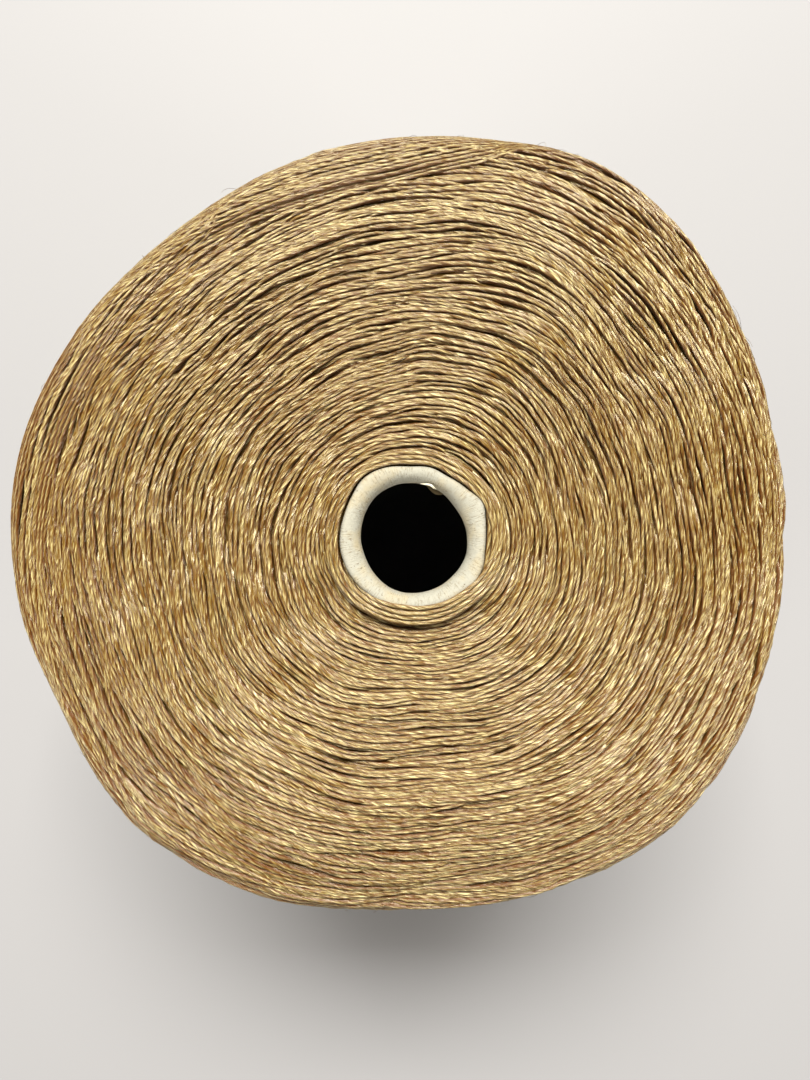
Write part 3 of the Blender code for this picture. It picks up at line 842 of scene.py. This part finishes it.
def makeSwag(name, swag):
    style = slippedTurns
    random = np.random.default_rng(swag["seed"])
    first, last, fine, sagTable = sagByDegree(swag)
    order = np.arange(-swag["slopeTurns"], swag["turns"])[:, None]
    count = len(order)
    tails = random.uniform(*style["tail"], (2, count, 1))
    t = np.linspace(0, 1, style["points"])[None, :]
    angle = (first - tails[0]) * (1 - t) + (last + tails[1]) * t
    sag = np.interp(angle, fine, sagTable, left=0, right=0)
    deepest = sagTable.max()
    place = np.maximum(order, 0) / swag["turns"]
    run = sideTopRun - style["onEdge"] - sag * (1 - place)
    run = run + np.minimum(order, 0) * style["slopeGap"] * sag / deepest
    loose = np.maximum(order - swag["turns"] + style["looseTurns"], 0) ** 2 * style["looseGap"]
    run = run + (order * style["gap"] + loose) * (1 - sag / deepest)
    run = run + loose * random.uniform(*style["looseSpread"], (count, 1)) * sag / deepest
    # past the swag's ends, a turn bends down the side
    past = np.maximum(np.maximum(first - angle, angle - last), 0)
    bending = style["tailBend"]
    past = np.where(past < bending, past * past / (2 * bending), past - bending / 2)
    run = run + style["helix"] * sideRadiusAt(packageForm["sideTop"]) * np.radians(past)
    if swag["crease"]:
        run = run + (order >= swag["crease"]) * style["creaseGap"] * sag / deepest
    along = np.radians(angle) * style["swellRadius"]
    run = run + style["stray"] * swells(random, along, style["strayWave"])
    lift = (style["proud"] - style["thickness"] / 2 + random.normal(0, style["liftSpread"], (count, 1))
            + style["swell"] * swells(random, along, style["swellWave"]))
    near = np.minimum(angle - angle[:, :1], angle[:, -1:] - angle)
    lift = lift - style["dive"] * (1 - smoothStep(near, 0, style["diveOver"]))
    layStrands(name, run, np.radians(angle), lift, style, random)


makeSwag("slippedTurnsSecond", secondSwag)
makeSwag("slippedTurnsFirst", firstSwag)
print("slipped turns laid")


# The side: traverses up and down the cone, each on top of what is already wound. After seven
# there and back, a strand comes to lie beside the first.
sideWinding = {
    "traverses": 320,
    "turnsEach": 1 + 23 / 320,  # a bit over one, so that they spread round the cone
    "endSpread": 1.1 * mm,  # of a traverse's ends, round the cone
    "turnBack": 0.04,  # share of a traverse that its rounded ends take
    "topApex": 2 * mm,  # past the side's ends
    "bottomApex": 4 * mm,
    "apexSpread": 1.2 * mm,
    "stray": 0.30 * mm,
    "strayWave": 60 * mm,
    "deepest": 1.35 * mm,  # the first traverses, pressed together below the last
    "proudest": 0.15 * mm,
    "thickness": 0.86 * mm,
    "thicknessSpread": 0.05,
    "sink": 0.70,  # share of the thickness that one strand adds over another
    "level": 88,  # percentile of the wound map that lies on the form
    "mapCells": 540,
    "bridge": 4,  # mm on each side that a strand spans
    "levelOver": 5,  # mm
    "finePoints": 540,
    "points": 108,
    "sides": 4,
    "seed": 8,
}


def windSide():
    style = sideWinding
    random = np.random.default_rng(style["seed"])
    top, bottom = sideTopRun + style["topApex"], sideBottomRun + style["bottomApex"]
    wound = np.zeros((int(profileEnd / mm) + 2, style["mapCells"]))
    s = np.linspace(0, 1, style["finePoints"])
    away = np.minimum(s, 1 - s)
    back = style["turnBack"]
    rounded = np.where(away < back, (away * away + back * back) / (2 * back), away)
    down = (np.where(s < 0.5, rounded, 1 - rounded) - back / 2) / (1 - back)
    ends = np.arange(style["traverses"] + 1) * style["turnsEach"] * tau
    ends = ends + random.normal(0, style["endSpread"], ends.shape) / packageForm["sideRadius"]
    apex, endCentre = top, None
    runs, thetas, centres = [], [], []
    window = 2 * style["bridge"] + 1
    for k in range(style["traverses"]):
        goal = (bottom if k % 2 == 0 else top) + random.normal(0, style["apexSpread"])
        run = apex + (goal - apex) * down
        turn = ends[k] + s * (ends[k + 1] - ends[k])
        along = (s * tau * sideRadiusAt(0))[None, :]
        run = run + style["stray"] * swells(random, along, style["strayWave"])[0] * smoothStep(away, 0, back)
        row = np.rint(run / mm).astype(int)
        cell = np.rint(turn / tau * style["mapCells"]).astype(int) % style["mapCells"]
        # it lies on the highest of what is wound below, and bridges the rest
        under = np.pad(wound[row, cell], style["bridge"], mode="edge")
        under = np.lib.stride_tricks.sliding_window_view(under, window).max(1)
        under = np.pad(under, style["bridge"], mode="edge")
        under = np.convolve(under, np.ones(window) / window, mode="valid")
        centre = under + style["thickness"] * style["sink"] / 2
        if endCentre is not None:  # it goes on from where the last traverse ended
            centre = centre + (endCentre - centre[0]) * (1 - smoothStep(s, 0, back))
        np.maximum.at(wound, (row, cell), centre + style["thickness"] * style["sink"] / 2)
        runs.append(run)
        thetas.append(turn)
        centres.append(centre)
        apex, endCentre = goal, centre[-1]
    level = np.percentile(wound, style["level"], axis=1)
    level = np.convolve(level, np.ones(style["levelOver"]) / style["levelOver"], mode="same")
    kept = np.rint(np.linspace(0, style["finePoints"] - 1, style["points"])).astype(int)
    run, theta, centre = (np.array(rows)[:, kept] for rows in (runs, thetas, centres))
    below = np.interp(run / mm, np.arange(len(level)), level) - centre
    lift = -style["thickness"] / 2 - style["deepest"] * (1 - np.exp(-below / style["deepest"]))
    lift = np.minimum(lift, style["proudest"])
    half = style["traverses"] // 2
    for name, part in (("sideWindingUnder", slice(0, half)), ("sideWindingOver", slice(half, None))):
        layStrands(name, run[part], theta[part], lift[part], style, random)
    print("side wound,", round(level.max() / mm, 1), "mm deep")


windSide()


# The base end face: coarser arcs, as it is only seen from below.
baseFace = dict(noseFace, rows=(sideBottomRun - 1.0 * mm, profileEnd - 1.2 * mm), neatRow=profileEnd,
                rowGap=0.85 * mm, rimGap=0.85 * mm, thickness=1.15 * mm, arcLength=(28 * mm, 52 * mm),
                points=13, sides=4, seed=14)
run, theta, lift, random = endFaceArcs(baseFace)
layStrands("baseFace", run, theta, lift, baseFace, random)
print("base face laid")


# What lies below the top turns.
underForm = {
    "depth": 1.5 * mm,
    "steps": 180,
    "runStep": 2.4 * mm,
    "mapRadius": 60,  # mm, for the map of its ridges
}


def makeUnderForm():
    style = underForm
    rows = int(profileEnd / style["runStep"])
    run = np.linspace(0, profileEnd, rows)[:, None]
    theta = np.arange(style["steps"])[None, :] / style["steps"] * tau
    points, _ = onPackage(*np.broadcast_arrays(run, theta), -style["depth"])
    index = np.arange(points.size // 3).reshape(rows, -1)
    ahead = np.roll(index, -1, axis=1)
    quads = np.stack([index[:-1], index[1:], ahead[1:], ahead[:-1]], -1).reshape(-1, 4)
    bore = np.stack([index[-1], index[0], ahead[0], ahead[-1]], -1)
    mesh = bpy.data.meshes.new("yarnUnderneath")
    mesh.from_pydata(points.reshape(-1, 3).tolist(), [], np.concatenate([quads, bore]).tolist())
    mesh.polygons.foreach_set("use_smooth", np.ones(len(mesh.polygons), dtype=bool))
    faces = np.concatenate([quads, bore])
    down, step = faces // style["steps"], faces % style["steps"]
    step = np.where(step < step[:, :1], step + style["steps"], step)
    wound = np.stack([down * style["runStep"] / mm, step * tau / style["steps"] * style["mapRadius"]], -1)
    woundMap = mesh.uv_layers.new(name="wound")
    woundMap.data.foreach_set("uv", wound.astype(np.float32).ravel())
    return addPiece("yarnUnderneath", mesh, shadedCotton)


makeUnderForm()
print("under form made")


# The paper cone: a tapered tube, its nose rolled inwards, the roll's outer edge uneven.
paperCone = {
    "steps": 160,
    "outsideHeights": ((0, 150, 10), (155, 167.2, 8)),  # mm from, mm to, how many
    "insideHeights": (158, 0, 8),
    "rollHeight": (2.3 * mm, 3.2 * mm),  # outside and inside
    "rollCrest": 0.30,  # its place between the outer edge and the hole
    "rollPower": (2.8, 2.0),  # how square the roll is outside and inside
    "rollPoints": 20,
    "unevenFrom": 6 * mm,  # below the nose
    "dents": 0.035 * mm,
    "dentWaves": (4 * mm, 14),  # along the board, and degrees
    "dentsOver": (12 * mm, 2 * mm),  # below the nose, where they start and are full
    "tuckDepth": 7 * mm,  # how far the rolled edge reaches down inside
    "tuck": ((0.5, 0.0), (0.8, 0.25), (1.0, 0.9)),  # share of that depth, and mm off the hole's edge
    "seed": 31,
}


def makePaperCone():
    style, c = paperCone, coneForm
    theta = np.arange(style["steps"]) / style["steps"] * tau
    outer, hole = roundTable(rimRows, 1, theta) + c["tuckUnderYarn"], roundTable(rimRows, 3, theta)
    dent = layerNoise(style["seed"], *style["dentWaves"])
    rows = []
    heights = [np.linspace(*part) * mm for part in style["outsideHeights"]]
    for height in np.concatenate(heights):  # up the outside
        wide = coneOutside(height)
        rollStart = c["length"] - style["rollHeight"][0]
        uneven = smoothStep(height, c["length"] - style["unevenFrom"], rollStart)
        rows.append((wide + (outer - coneOutside(rollStart)) * uneven, height))
    crest = outer - style["rollCrest"] * (outer - hole)
    for t in np.linspace(0, 1, style["rollPoints"])[1:]:  # over the roll, two quarter rounds
        angle = t * math.pi
        inward = int(angle > math.pi / 2)
        power = style["rollPower"][inward]
        out = abs(math.cos(angle)) ** (2 / power)
        rows.append((crest + ((outer, hole)[inward] - crest) * out,
                     c["length"] - style["rollHeight"][inward] * (1 - math.sin(angle) ** (2 / power))))
    for depth, spread in style["tuck"]:  # down inside, to the tucked edge
        rows.append((hole + spread * mm, c["length"] - depth * style["tuckDepth"]))
    for height in np.linspace(*style["insideHeights"]) * mm:  # down the inside of the wall
        rows.append((np.full(len(outer), coneOutside(height) - c["wall"]), height))
    radius = np.array([row[0] for row in rows])
    height = np.array([np.broadcast_to(row[1], theta.shape) for row in rows])
    length = np.cumsum(np.concatenate([[0], np.hypot(np.diff(radius[:, 0]), np.diff(height[:, 0]))]))
    dentsFrom, dentsFull = style["dentsOver"]
    nearNose = smoothStep(height, c["length"] - dentsFrom, c["length"] - dentsFull)
    dents = dent(*np.broadcast_arrays(length[:, None], theta[None, :]))
    radius = radius + style["dents"] * nearNose * dents
    points = np.stack([radius * np.cos(theta), radius * np.sin(theta), height], -1)
    index = np.arange(points.size // 3).reshape(len(rows), -1)
    index = np.concatenate([index, index[:1]])
    ahead = np.roll(index, -1, axis=1)
    faces = np.stack([index[:-1], ahead[:-1], ahead[1:], index[1:]], -1).reshape(-1, 4)
    mesh = bpy.data.meshes.new("paperCone")
    mesh.from_pydata(points.reshape(-1, 3).tolist(), [], faces.tolist())
    mesh.polygons.foreach_set("use_smooth", np.ones(len(mesh.polygons), dtype=bool))
    length = np.append(length, length[-1] + c["wall"]) / mm
    turn = np.arange(style["steps"] + 1) / style["steps"] * tau * c["noseRadius"] / mm
    u, v = np.meshgrid(turn, length)
    board = np.stack([u, v], -1)
    board = np.stack([board[:-1, :-1], board[:-1, 1:], board[1:, 1:], board[1:, :-1]], 2)
    boardMap = mesh.uv_layers.new(name="board")
    boardMap.data.foreach_set("uv", board.astype(np.float32).ravel())
    return addPiece("paperCone", mesh, coneBoard, "paper_cone")


makePaperCone()

# Where the board's end is lapped under the roll: its edge hangs a little into the hole, beside a
# frayed white tongue. Rows are degrees, radius and height (mm), thickness (mm).
rimLap = {
    "lapEdge": ((55, 10.0, 166.4, 0.4), (59, 9.75, 166.0, 1.1), (63, 9.6, 165.7, 1.4),
                (68, 9.65, 165.7, 1.2), (73, 9.85, 166.0, 0.7), (77, 10.1, 166.4, 0.3)),
    "tongue": ((83, 9.85, 168.2, 0.06), (80, 9.84, 168.6, 0.22), (76, 9.92, 168.9, 0.36),
               (72, 9.96, 169.0, 0.42), (69.5, 9.86, 169.0, 0.26), (67, 9.72, 168.8, 0.08)),
    "points": 15,
    "sides": 8,
    "fibres": 5,
    "stray": (-2.5, 0.22, 0.3),  # of the fibres' ends: degrees, mm aside, mm up
    "fibreThickness": 0.09 * mm,  # thicker than real, as finer ones would not show
    "seed": 33,
}


def makeRimLap():
    style = rimLap
    random = np.random.default_rng(style["seed"])
    share = np.linspace(0, 1, style["points"])
    for name, material in (("lapEdge", boardEdge), ("tongue", boardFray)):
        rows = np.array(style[name])
        table = [np.interp(share, np.linspace(0, 1, len(rows)), column) for column in rows.T]
        count = 1 + (name == "tongue") * style["fibres"]
        theta, radius, height, thickness = (np.repeat(column[None], count, 0) for column in table)
        if count > 1:  # thin fibres beside the tongue
            isFibre = (np.arange(count) > 0)[:, None]
            along, aside, up = random.uniform(-1, 1, (3, count, 1)) * share * isFibre
            theta = theta + style["stray"][0] * along
            radius = radius + style["stray"][1] * aside
            height = height + style["stray"][2] * up**2
            thickness[1:] = style["fibreThickness"] / mm
        theta = np.radians(theta)
        centres = np.stack([radius * mm * np.cos(theta), radius * mm * np.sin(theta), height * mm], -1)
        normals = np.broadcast_to((0.0, 0.0, 1.0), centres.shape)
        mesh = strandMesh(name, centres, normals, thickness * mm, style["sides"], np.zeros(count), "board")
        addPiece(name, mesh, material)


makeRimLap()
print("paper cone made")


# Loose fibres that stand off the strands, and a few longer hairs at the rim.
fuzz = {
    "fibres": 420,
    "length": (1.5 * mm, 5 * mm),
    "innermost": 0.01,  # share of the nose face
    "root": 0.2 * mm,  # below the form
    "rise": 0.5 * mm,
    "riseSpread": (0.3, 1.6),
    "arch": (0.5, 1.0),  # share of a full arch
    "turn": 50,  # degrees that they stray from the strands
    "bend": 1.0,  # radians along a fibre
    "leastRadius": 10 * mm,
    "thickness": 0.075 * mm,  # thicker than real, as finer ones would not show
    "taper": (1.15, 0.6),  # share at the root, and how much less at the tip
    "hairs": 14,
    "hairLength": (3 * mm, 8 * mm),
    "hairsFrom": (9 * mm, 1 * mm),  # before the side's top
    "points": 6,
    "sides": 3,
    "seed": 51,
}


def makeFuzz():
    style = fuzz
    random = np.random.default_rng(style["seed"])
    count = style["fibres"] + style["hairs"]
    isHair = (np.arange(count) >= style["fibres"])[:, None]
    hairRun = random.uniform(*(sideTopRun - np.array(style["hairsFrom"])), (count, 1))
    fuzzRun = sideTopRun * np.sqrt(random.uniform(style["innermost"], 1, (count, 1)))
    run = np.where(isHair, hairRun, fuzzRun)
    theta = random.uniform(0, tau, (count, 1))
    hairLength = random.uniform(*style["hairLength"], (count, 1))
    length = np.where(isHair, hairLength, random.uniform(*style["length"], (count, 1)))
    t = np.linspace(0, 1, style["points"])[None, :]
    heading = np.radians(random.normal(0, style["turn"], (count, 1)))
    heading = heading + random.normal(0, style["bend"], (count, 1)) * t
    step = length / style["points"]
    run = run + np.cumsum(np.sin(heading) * step, 1)
    way = random.choice([-1, 1], (count, 1))
    around = np.cumsum(np.cos(heading) * step, 1) / np.maximum(radiusAt(run), style["leastRadius"])
    theta = theta + way * around
    rise = style["rise"] * random.uniform(*style["riseSpread"], (count, 1)) * (1 + isHair)
    lift = rise * np.sin(math.pi * t * random.uniform(*style["arch"], (count, 1))) - style["root"]
    centres, normals = onPackage(run, theta, lift)
    atRoot, less = style["taper"]
    thickness = style["thickness"] * (atRoot - less * t) * np.ones((count, 1))
    tone = random.uniform(0, 1, count)
    mesh = strandMesh("looseFibres", centres, normals, thickness, style["sides"], tone)
    print("looseFibres", count, "fibres")
    return addPiece("looseFibres", mesh, cottonYarn)


makeFuzz()


# Plain floor, a broad window light beyond the top of the view, and the camera over the nose.
studio = {
    "cameraOver": 147 * mm,  # above the paper cone's nose
    "lens": 27.03,  # mm, before a sensor 36 mm wide
    "sensor": 36,
    "clipStart": 0.01,  # metres
    "noseAside": (1.63 * mm, 0.54 * mm),  # of the nose from the middle of the view
    "window": (0.0, 0.91, 1.47),
    "windowSize": (1.04, 0.455),
    "windowPower": 63,
    "windowColour": (1.0, 0.955, 0.79),  # linear, as the light's colour is
    "aimHeight": 150 * mm,
    "fills": ((-1.5, -1.1, 0.75), (1.5, -1.1, 0.75)),  # weak and low, for the sides in the shade
    "fillSize": 0.8,
    "fillPower": 15,
    "room": 0.27,
    "roomColour": (1.0, 0.90, 0.70, 1),
    "floor": "#9FA0AC",
    "floorRoughness": 0.7,
    "floorReach": 4,
}


def addLight(name, place, size, power):  # a panel that faces the package's nose
    light = bpy.data.lights.new(name, "AREA")
    light.shape = "RECTANGLE"
    light.size, light.size_y = size
    light.energy = power
    light.color = studio["windowColour"]
    lightPiece = bpy.data.objects.new(name, light)
    lightPiece.location = place
    aim = Vector((0, 0, studio["aimHeight"])) - Vector(place)
    lightPiece.rotation_euler = aim.to_track_quat("-Z", "Y").to_euler()
    bpy.context.scene.collection.objects.link(lightPiece)


def makeStudio():
    s = studio
    reach = s["floorReach"]
    floor = bpy.data.meshes.new("floor")
    floor.from_pydata([(-reach, -reach, 0), (reach, -reach, 0), (reach, reach, 0), (-reach, reach, 0)],
                      [], [(0, 1, 2, 3)])
    floorPiece = bpy.data.objects.new("floor", floor)
    material, _, shader = newMaterial("paleFloor")
    shader.inputs["Base Color"].default_value = linear(s["floor"])
    shader.inputs["Roughness"].default_value = s["floorRoughness"]
    floor.materials.append(material)
    bpy.context.scene.collection.objects.link(floorPiece)

    camera = bpy.data.cameras.new("camera")
    camera.lens = s["lens"]
    camera.sensor_width = s["sensor"]
    camera.clip_start = s["clipStart"]
    cameraPiece = bpy.data.objects.new("camera", camera)
    cameraPiece.location = (-s["noseAside"][0], -s["noseAside"][1], coneForm["length"] + s["cameraOver"])
    bpy.context.scene.collection.objects.link(cameraPiece)
    bpy.context.scene.camera = cameraPiece

    addLight("window", s["window"], s["windowSize"], s["windowPower"])
    for number, place in enumerate(s["fills"]):
        addLight("fill" + str(number), place, (s["fillSize"], s["fillSize"]), s["fillPower"])

    world = bpy.data.worlds.new("room")
    world.use_nodes = True
    background = world.node_tree.nodes["Background"]
    background.inputs["Color"].default_value = s["roomColour"]
    background.inputs["Strength"].default_value = s["room"]
    bpy.context.scene.world = world
    bpy.context.scene.view_settings.view_transform = "Standard"


makeStudio()
print("studio made")
